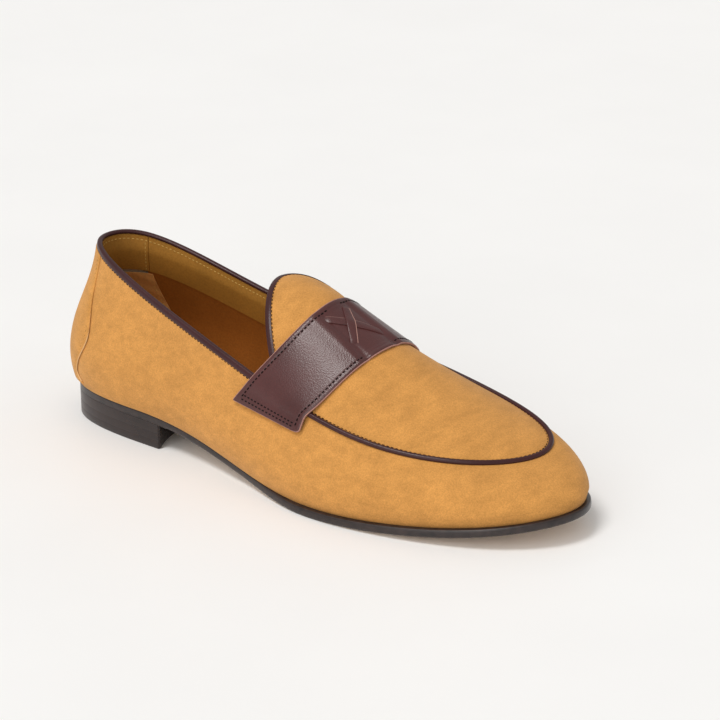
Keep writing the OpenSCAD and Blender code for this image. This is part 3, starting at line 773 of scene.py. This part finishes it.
def forefoot_insert():
    n = 200
    a = np.arange(n) * 2 * np.pi / n
    section = [(0.3, -2.2), (0.15, -3.7), (0.25, -3.85), (0.7, -3.96), (2, -4), (8, -4), (16, -4), (23, -4)]
    rings = [lifted(insert_at(a, inset), height) for inset, height in section]
    index = np.arange(len(rings) * n).reshape(len(rings), n)
    faces = [list(f) for f in quads(index, False, True)]
    points = np.concatenate(rings)
    for ring, height in ((0, -2.2), (len(rings) - 1, -SOLE_T)):
        points = np.vstack([points, lifted(rings[ring][:, :2].mean(0), height)])
        line = np.append(index[ring], index[ring][0])
        faces += [[line[k], line[k + 1], len(points) - 1] for k in range(n)]
    make("forefoot_rubber", points, faces, MATERIALS["rubber"],
         replaces=["forefoot_insert"], slot="sole_rubber")


def heel_outline(inset, n=150):
    """Outline of the heel: round the back, then the hollow breast, as closed points."""
    t = np.linspace(-4, 4, 1601)
    line = plan_at(t, sole_growth(t) - inset)
    line = line[line[:, 0] < BREAST_X - inset * 0.6]
    a, b = line[0], line[-1]
    cut = np.linspace(0, 1, 60)[1:-1, None]
    middle = BREAST_X + math.sqrt(BREAST_R ** 2 - BREAST_HALF ** 2)
    hollow = mix(b, a, cut)
    hollow[:, 0] = middle - np.sqrt((BREAST_R + inset * 0.6) ** 2 - hollow[:, 1] ** 2)
    pick = np.linspace(0, len(line) - 1, n).round().astype(int)
    return np.concatenate([line[pick], hollow])


def heel_layer(name, z0, z1, material, round_low=0.03, seat=False, **more):
    """One layer of the heel from height z0 to z1. With seat, its top follows the outsole."""
    section = [(1.5, z1), (0.03, z1), (0.01, z1 - 0.02), (0, z1 - 0.05), (0, z0 + 0.3),
               (0.25 * round_low, z0 + 0.08), (round_low, z0), (1.5, z0)]
    rings = []
    for inset, z in section:
        q = heel_outline(inset)
        top = sole_top(q[:, 0]) - SOLE_T + (z - z1) if seat and z > z0 + 1 else np.full(len(q), float(z))
        rings.append(np.concatenate([q, top[:, None]], 1))
    n = len(rings[0])
    index = np.arange(len(rings) * n).reshape(len(rings), n)
    faces = [list(f) for f in quads(index, False, True)]
    faces += [list(index[0]), list(index[-1][::-1])]
    return make(name, np.concatenate(rings), faces, material, angle=50, **more)


def nail_heads():
    """Ends of the top-piece nails, seen from below."""
    points, faces = [], []
    for angle in range(60, 301, 40):
        a = math.radians(angle)
        x, y = (-112 + 25 * math.cos(a)) * 0.9 - 11, 16 * math.sin(a)
        for r, z in ((0.9, 0.12), (0.9, -0.02), (0.5, -0.08)):
            b = np.linspace(0, 2 * np.pi, 16, endpoint=False)
            points += [(x + r * math.cos(k), y + r * math.sin(k), z + 0.08) for k in b]
        start = len(points) - 48
        index = start + np.arange(48).reshape(3, 16)
        faces += [list(f) for f in quads(index, False, True)]
        faces += [list(index[0]), list(index[-1][::-1])]
    make("nail_heads", points, faces, MATERIALS["brass"], slot="nail_brass")


def bottom_unit():
    outsole()
    forefoot_insert()
    heel_layer("heel_lift_top", TOP_PIECE_T + LIFT_T, HEEL_RISE, MATERIALS["heel"], seat=True,
               replaces=["heel_lift_upper"], slot="heel_leather")
    heel_layer("heel_lift_low", TOP_PIECE_T, TOP_PIECE_T + LIFT_T, MATERIALS["heel"],
               replaces=["heel_lift_lower"], slot="heel_leather")
    heel_layer("heel_top_piece", 0, TOP_PIECE_T, MATERIALS["heel"], 0.4,
               replaces=["top_piece"], slot="sole_rubber")
    nail_heads()


# ---- upper ----


def skived(v, share):
    """Share of its thickness that a layer keeps as it runs out to the topline."""
    return 1 - (1 - share) * smooth((v - 0.88) / 0.12)


def side_patch(t, low, high, m, d, tuck=True, lump=None, share=1.0):
    """Grid over rows t of the side from v = low to high, at depth d, with its turned-in margin."""
    j = np.linspace(0, 1, m)
    v = low[:, None] + (high - low)[:, None] * j
    tt = t[:, None] + 0 * v
    p = side_in(tt, v, d * skived(v, share))
    if lump is not None:
        p = p + side_normal(tt, v) * (wobble(p, *lump) * smooth((1 - v) / 0.1) * smooth(v / 0.15))[..., None]
    if tuck:
        bend = [under(t, 0.95 * d, d), under(t, 0.5 * MARGIN_W, d), under(t, MARGIN_W, d)]
        if d == 0:
            bend[0] = under(t, 0.35, 0)
            bend.insert(0, mix(under(t, 0, 0.3), side_at(t, 0.25 * low), 0.5))
        else:
            bend.insert(0, mix(bend[0], p[:, 0], 0.35))
        p = np.concatenate([np.stack(bend[::-1], 1), p], 1)
    return p


def skirt():
    n = 720
    t = np.arange(n) * ROWS / n
    low, high = foot_v(t), np.full(n, 0.985)
    lump = (46, 0.22, 3)
    outer = side_patch(t, low, high, 44, 0, lump=lump)
    inner = side_patch(t, low, high, 44, SUEDE_T, share=0.7)
    shell("suede_side", outer, inner, MATERIALS["suede"], wrap=True, replaces=["skirt"], slot="suede")


def plug(name, d0, d1, q0, q1, edge, material, lump=None, **more):
    n, m = ((220, 101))
    q, w = grid(n, m, q0, q1, -edge, edge)
    rim = np.maximum(smooth((np.abs(w) - 0.84) / 0.16), smooth((q - 1.82) / 0.16)) * smooth((q - 0.9) / 0.2)
    outer, inner = plug_in(q, w, d0 * (1 - 0.4 * rim)), plug_in(q, w, d1 * (1 - 0.4 * rim))
    if lump:
        height = wobble(outer, *lump) * smooth((edge - np.abs(w)) / 0.2)
        outer = outer + plug_normal(q, w) * height[..., None]
    return shell(name, outer, inner, material, **more)


def strip_half(v):
    """Half the width of the back strip, in rows: it swells at the heel's curve and kicks out at the sole."""
    return 1.05 + 0.33 * np.exp(-((v - 0.42) / 0.27) ** 2) + 0.35 * np.clip(1 - v / 0.12, 0, 1) ** 2


def back_strip():
    """Strip of suede round the back of the heel, with its cut edge and stitching."""
    n, m = ((160, 80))
    x, v = grid(n, m, -1, 1, 0.035, 0.975)
    t = x * strip_half(v)
    ease = 1 - 0.35 * smooth((np.abs(x) - 0.96) / 0.04)
    outer, inner = side_in(t, v, -0.75 * ease), side_in(t, v, 0.02)
    height = wobble(outer, 40, 0.15, 5) * smooth((1 - np.abs(x)) / 0.1)
    outer = outer + side_normal(t, v) * height[..., None]
    shell("heel_strip", outer, inner, MATERIALS["suede"], replaces=["back_strip"], slot="suede")
    v = np.linspace(0.045, 0.6, 160)
    rows = []
    for k, side in ((-1, "inner"), (1, "outer")):
        t = k * (strip_half(v) + 0.006)
        line = side_in(t, v, -0.36)
        bead = rope(line, side_normal(t, v), 0.2 * smooth((0.5 - v) / 0.1) + 0.04, 1.2, 8)
        tube(f"strip_cut_edge_{side}", bead, MATERIALS["raw_edge"], slot="suede")
        w = np.linspace(0.12, 0.95, 160)
        t = k * (strip_half(w) - 0.055)
        rows.append((side_in(t, w, -0.72), side_normal(t, w)))
    thread("heel_strip_stitches", rows, MATERIALS["tan_thread"], radius=0.23,
           replaces=["back_strip_thread"], slot="tan_thread")


SEAM_ROW = -1.02
FACING_D = STACK_T + 0.45


def grip_half(v):
    """Half the width of the heel grip, in rows."""
    return 1.08 + 0.9 * (0.72 - v) ** 1.15


def lining():
    n = 200
    t = np.linspace(1.0, 15.0, 2 * n)
    top = facing_v(t) + 0.02
    past_throat = np.where(t < TOE_ROW, smooth((t - 4.2) / 0.4), smooth((11.8 - t) / 0.4))
    top = mix(top, 0.97, past_throat)
    shell("vamp_lining_leather", side_patch(t, foot_v(t), top, 20, LINING_D + 0.25),
          side_patch(t, foot_v(t), top, 20, LINING_D + LINING_T), MATERIALS["lining"],
          replaces=["vamp_lining"], slot="lining_leather")
    for name, node, a, b in (("facing_outer", "facing_lateral", SEAM_ROW, 4.42),
                             ("facing_inner", "facing_medial", 11.58, SEAM_ROW + ROWS - 0.02)):
        t = np.linspace(a, b, n)
        band = [side_patch(t, facing_v(t), np.full(n, 0.985), 24, d, False, share=0.55)
                for d in (LINING_D, FACING_D)]
        shell(name, *band, MATERIALS["facing"], replaces=[node], slot="facing_leather")
    x, v = grid(80, 60, -1, 1, 0, 1)
    v = mix(foot_v(x * 1.3), np.minimum(facing_v(x * 1.3) + 0.01, 0.715), v)
    t = x * grip_half(v)
    crease = 0.10 * np.sin(v * 60 + 3 * np.sin(t * 3)) * smooth(v / 0.3)
    shell("heel_grip_leather", side_in(t, v, STACK_T - 0.05), side_in(t, v, STACK_T + 0.35 + crease),
          MATERIALS["pad"], replaces=["heel_grip"], slot="pad_leather")


def lining_stitches():
    t = np.linspace(-4.4, 4.4, 600)
    v = 1 - 2.6 / side_h(t)
    d = FACING_D * skived(v, 0.55)
    rows = [(side_in(t, v, d), -side_normal(t, v))]
    seam = SEAM_ROW + 0.05 + np.zeros(40)
    v = np.linspace(facing_v(SEAM_ROW), 1 - 3 / side_h(SEAM_ROW), 40)
    rows.append((side_in(seam, v, FACING_D * skived(v, 0.55)), -side_normal(seam, v)))
    thread("lining_stitches", rows, MATERIALS["gold_thread"], radius=0.23, slot="tan_thread")
    rows = []
    v = np.linspace(0.12, 0.68, 60)
    for k in (-1, 1):
        t = k * (grip_half(v) - 0.06)
        rows.append((side_in(t, v, STACK_T + 0.36), -side_normal(t, v)))
    thread("grip_stitches", rows, MATERIALS["gold_thread"], radius=0.23, slot="tan_thread")


# ---- trim ----


def fold_section(thick, outer_h, inner_h, skin, sides=11):
    """Section of a strip folded over an edge: (depth, height) points."""
    a = np.linspace(0, np.pi, sides)
    half = thick / 2 + skin
    crown = [(thick / 2 - half * math.cos(k), 0.75 * half * math.sin(k) ** 0.9) for k in a]
    left = [(0.1, -outer_h), (-0.5 * skin, -outer_h - 0.1), (-0.95 * skin, -outer_h + 0.3),
            (-1.08 * skin, -0.5 * outer_h)]
    right = [(thick + skin, -0.5 * inner_h), (thick + 0.8 * skin, -inner_h + 0.2), (thick - 0.1, -inner_h)]
    return np.array(left + crown + right + [(0.6 * thick, -0.4 * inner_h), (0.4 * thick, -0.4 * inner_h)])


def topline_binding():
    n = 620
    t = np.linspace(THROAT_OUT - 0.1, THROAT_IN - ROWS + 0.1, n)
    one = np.ones(n)
    up = unit(side_at(t, one) - side_at(t, 0.96 * one))
    normal = side_normal(t, one)
    edge = side_at(t, one)
    section = fold_section(1.8, 2.15, 0.8, 0.42)
    rings = edge[:, None] - normal[:, None] * section[None, :, :1] + up[:, None] * section[None, :, 1:]
    tube("topline_fold", rings, MATERIALS["trim"], replaces=["topline_binding"], slot="trim_leather")
    v = 1 - 2.2 / side_h(t)
    thread("topline_stitches", [(side_in(t, v, -0.12), side_normal(t, v))], MATERIALS["dark_thread"],
           radius=0.18, replaces=["topline_thread"], slot="dark_thread")


def edge_frame(points, normal, middle):
    """Smoothed normals and outward directions along an edge of the apron and tongue."""
    for _ in range(30):
        normal[1:-1] = (normal[:-2] + normal[1:-1] + normal[2:]) / 3
    ahead = unit(np.gradient(points, axis=0))
    out = unit(np.cross(ahead, unit(normal)))
    out *= np.sign(np.sum(out * (points - middle), axis=1, keepdims=True))
    face = unit(np.cross(out, ahead))
    return face * np.sign(np.sum(face * normal, axis=1, keepdims=True)), out


def tongue_rim(n):
    """Points round the tongue from the outer to the inner throat, with normals and outward directions."""
    s = np.linspace(0.03, 0.97, n)
    q = 1 + np.minimum(np.sin(np.pi / 2 * (1 - np.abs(2 * s - 1))), 0.995)
    w = np.where(s < 0.5, -1.0, 1.0)
    points = plug_at(q, w)
    return (points, *edge_frame(points, plug_normal(np.minimum(q, 1.93), w), np.array([-2.0, 0, 75])))


def tongue_binding():
    points, normal, out = tongue_rim(260)
    section = fold_section(1.45, 2.2, 1.0, 0.45)
    rings = points[:, None] - normal[:, None] * section[None, :, :1] + out[:, None] * section[None, :, 1:]
    tube("tongue_fold", rings, MATERIALS["trim"], replaces=["tongue_binding"], slot="trim_leather")
    thread("tongue_stitches", [(points + normal * 0.12 - out * 2.6, normal)], MATERIALS["dark_thread"],
           radius=0.18, slot="dark_thread")


CORD_R = 1.25


def piping():
    n = 360
    t = np.linspace(THROAT_OUT + 0.05, THROAT_IN - 0.05, n)
    one = np.ones(n)
    up = unit(side_normal(t, one) + np.array([0, 0, 0.6]))
    points = side_at(t, one) + up * 0.4
    tube("apron_cord", rope(points, up, CORD_R, sides=14), MATERIALS["trim"],
         replaces=["piping"], slot="trim_leather")
    edge = side_at(t, one)
    normal = plug_normal(np.abs(t - TOE_ROW) / 3.5, np.sign(t - TOE_ROW))
    face, out = edge_frame(edge, normal, plug_at(0.6, 0.0))
    thread("apron_stitches", [(edge - out * (CORD_R + 0.45) + face * 0.1, face)], MATERIALS["dark_thread"],
           radius=0.18, replaces=["apron_thread"], slot="dark_thread")


# ---- strap ----

STITCH_IN = 0.07
CREASE_U = 0.088


def strap_settle(u):
    """How far the strap is pulled down onto the apron between its sewn ends."""
    return 0.9 * smooth(u / 0.08) * smooth((1 - u) / 0.08)


def strap_recess(u, v):
    """How far the middle of the strap is pressed in under the crossed bands."""
    ends = smooth(v / 0.14) * smooth((1 - v) / 0.14)
    flat = smooth((1 - np.abs(u - 0.5) / CREASE_U) / 0.3) * (0.25 + 0.75 * ends)
    pinch = np.exp(-((np.abs(u - 0.5) - 0.078) / 0.016) ** 2) * smooth((v - 0.5) / 0.5)
    ridge = np.exp(-((np.abs(u - 0.5) - CREASE_U - 0.012) / 0.012) ** 2)
    return 1.1 * flat + 0.9 * pinch - 0.2 * ridge


def strap_face(u, v, d=0.0):
    """Point at height d over the strap's finished face."""
    return strap_out(u, v, STRAP_T - strap_settle(u) - strap_recess(u, v) + d)


def strap():
    n, m = ((420, 90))
    u, v = grid(n, m, 0, 1, 0, 1)
    near = np.clip(1 - np.minimum(u, 1 - u) / 0.03, 0, 1)
    vv = v * (1 - 0.08 * (1 - np.sqrt(1 - near ** 2)))
    groove = 0.16 * np.exp(-((np.minimum(v, 1 - v) - STITCH_IN) / 0.012) ** 2)
    edge = 0.25 * smooth(1 - np.minimum(v, 1 - v) / 0.03) ** 2
    outer = strap_face(u, vv, -groove - edge)
    inner = strap_out(u, vv, 0.05 - strap_settle(u))
    shell("strap_leather_band", outer, inner, MATERIALS["strap"], replaces=["strap", "strap_backing"],
          slot="strap_leather")
    cut_edge(outer, inner)
    rows = []
    s = np.linspace(0.03, 0.97, 600)
    for k in (STITCH_IN, 1 - STITCH_IN):
        keep = np.abs(s - 0.5) > CREASE_U * (0.9 if k > 0.5 else 0.4)
        for part in (s[keep & (s < 0.5)], s[keep & (s > 0.5)]):
            rows.append((strap_face(part, k + 0 * part, 0.02), strap_normal(part, k + 0 * part)))
    for a in (0.022, 0.042, 0.978, 0.958):
        k = np.linspace(0.08, 0.90, 60)
        rows.append((strap_face(a + 0 * k, k, 0.02), strap_normal(a + 0 * k, k)))
    thread("strap_stitches", rows, MATERIALS["dark_thread"], radius=0.36,
           replaces=["strap_thread"], slot="dark_thread")


def cut_edge(outer, inner):
    """Raw cut edge of the strap, a thin pale bead all round."""
    line = np.concatenate([outer[:, 0], outer[-1, 1:], outer[-2::-1, -1], outer[0, -2:0:-1]])
    low = np.concatenate([inner[:, 0], inner[-1, 1:], inner[-2::-1, -1], inner[0, -2:0:-1]])
    up = unit(line - low)
    centre = mix(line, low, 0.4)
    ahead = unit(np.roll(centre, -1, 0) - np.roll(centre, 1, 0))
    side = np.cross(ahead, up)
    side *= np.sign(np.sum(side * (centre - centre.mean(0)), 1).mean())
    a = np.linspace(0, 2 * np.pi, 8, endpoint=False)
    rings = (centre + side * 0.16)[:, None] + side[:, None] * 0.3 * np.cos(a)[:, None] \
        + up[:, None] * 0.5 * np.sin(a)[:, None]
    tube("strap_cut_edge", rings, MATERIALS["cut"], closed=True, slot="backing_leather")


BAND_HALF, BAND_T = 2.15, 0.9
BAND_ENDS = {"cross_over": ((0.552, 0.10), (0.428, 0.74)), "cross_under": ((0.418, 0.12), (0.588, 0.78))}


def cross_band(name, node, lift, cut):
    """One strip of the woven cross: it rises out of the strap, runs over it and dips back in."""
    (ua, va), (ub, vb) = BAND_ENDS[name]
    s = np.linspace(0, 1, 60)
    u, v = mix(ua, ub, s), mix(va, vb, s)
    rise = np.minimum(smooth(s / 0.14), smooth((1 - s) / 0.14))
    over = np.exp(-((s - 0.5) / 0.13) ** 2)
    path = strap_face(u, v, mix(-BAND_T, 0.45, rise) + lift * over)
    up = strap_normal(u, v)
    ahead = unit(np.gradient(path, axis=0))
    side = unit(np.cross(ahead, up))
    up = np.cross(side, ahead)
    half = BAND_HALF * (0.8 + 0.2 * smooth(1 - np.abs(2 * s - 1)))
    x = np.array([-1, -0.97, -0.86, -0.5, 0, 0.5, 0.86, 0.97, 1, 0.97, 0, -0.97])
    z = np.array([-0.3, -0.02, 0.1, 0.2, 0.24, 0.2, 0.1, -0.02, -0.3, -BAND_T, -BAND_T, -BAND_T])
    across = side[:, None] * x[None, :, None] * half[:, None, None]
    rings = path[:, None] + across + up[:, None] * z[None, :, None]
    tube(name, rings, MATERIALS["strap"], replaces=[node], slot="strap_leather", angle=60)
    line = path - side * half[:, None] - up * 0.2
    tube(f"{name}_cut_edge", rope(line[3:-3], up[3:-3], cut, 1.3, 8), MATERIALS["cut"],
         slot="backing_leather")


# ---- footbed ----


def footbed():
    z = SOCK_Z
    slab("sock_leather_sheet", -4.0,
         [(8, z + SOCK_T), (2, z + SOCK_T), (0.4, z + SOCK_T), (0, z + 0.5 * SOCK_T), (0.3, z), (4, z)],
         MATERIALS["sock"], replaces=["sock"], slot="sock_leather")
    back = plan_at(np.linspace(-2.3, 2.3, 64), np.full(64, -5.5))
    a = np.radians(np.linspace(-80, 80, 26))
    nose = np.stack([-86 + 18 * np.cos(a), -1 + 22 * np.sin(a)], 1)
    ring = np.concatenate([back, nose])
    middle = np.array([-108, -1])
    steps = np.concatenate([np.linspace(0, 0.9, 14), [0.94, 0.97, 0.99, 1.0]])
    rows = []
    for k in steps:
        q = middle + (ring - middle) * k
        crown = 1.6 * (1 - k ** 4) + FOAM_T * smooth((1 - k) / 0.12) + 0.35
        dip = 0.35 * np.exp(-((k - 0.9) / 0.02) ** 2)
        rows.append(lifted(q, FOAM_Z + crown - dip))
    rows.append(lifted(middle + (ring - middle) * 0.998, FOAM_Z + 0.02))
    rows.append(lifted(middle + (ring - middle) * 0.5, FOAM_Z + 0.02))
    rows = np.array(rows)
    index = np.arange(rows.shape[0] * rows.shape[1]).reshape(rows.shape[:2])
    faces = [list(f) for f in quads(index[1:], False, True)]
    faces += [[index[1, k], index[1, (k + 1) % len(ring)], index[0, 0]] for k in range(len(ring))]
    points = rows.reshape(-1, 3)
    faces.append(list(index[-1]))
    used = np.unique(np.concatenate([np.array(f) for f in faces]))
    new = {int(v): k for k, v in enumerate(used)}
    faces = [[new[int(v)] for v in f] for f in faces]
    pad = make("heel_cushion", points[used], faces, MATERIALS["pad"], replaces=["heel_pad", "heel_foam"],
               slot="pad_leather")


def hidden_parts():
    """CAD nodes that stay as they are, inside the shoe."""
    finish = {"heel_nails": "steel", "top_piece_nails": "brass", "shank": "steel",
              "cork_filler": "cork", "insole_board": "board", "heel_counter": "stiff",
              "toe_puff": "stiff", "sole_thread": "pale_thread"}
    for node, material in finish.items():
        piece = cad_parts[node]
        piece.data.materials.clear()
        piece.data.materials.append(MATERIALS[material])


bottom_unit()
skirt()
plug("suede_apron", 0, SUEDE_T, 0.015, 1.975, 0.975, MATERIALS["suede"], lump=(40, 0.2, 8),
     replaces=["apron"], slot="suede")
plug("apron_lining_leather", SUEDE_T + 0.1, SUEDE_T + 0.1 + LINING_T, 0.08, 1.96, 0.94, MATERIALS["lining"],
     replaces=["apron_lining"], slot="lining_leather")
back_strip()
lining()
lining_stitches()
topline_binding()
tongue_binding()
piping()
strap()
# The under band's thin pale bead along its lower edge is partly its cut edge and partly a painted highlight
# on that edge.
cross_band("cross_under", "cross_band_under", 0.0, 0.13)
cross_band("cross_over", "cross_band_over", 0.75, 0.24)
footbed()
hidden_parts()
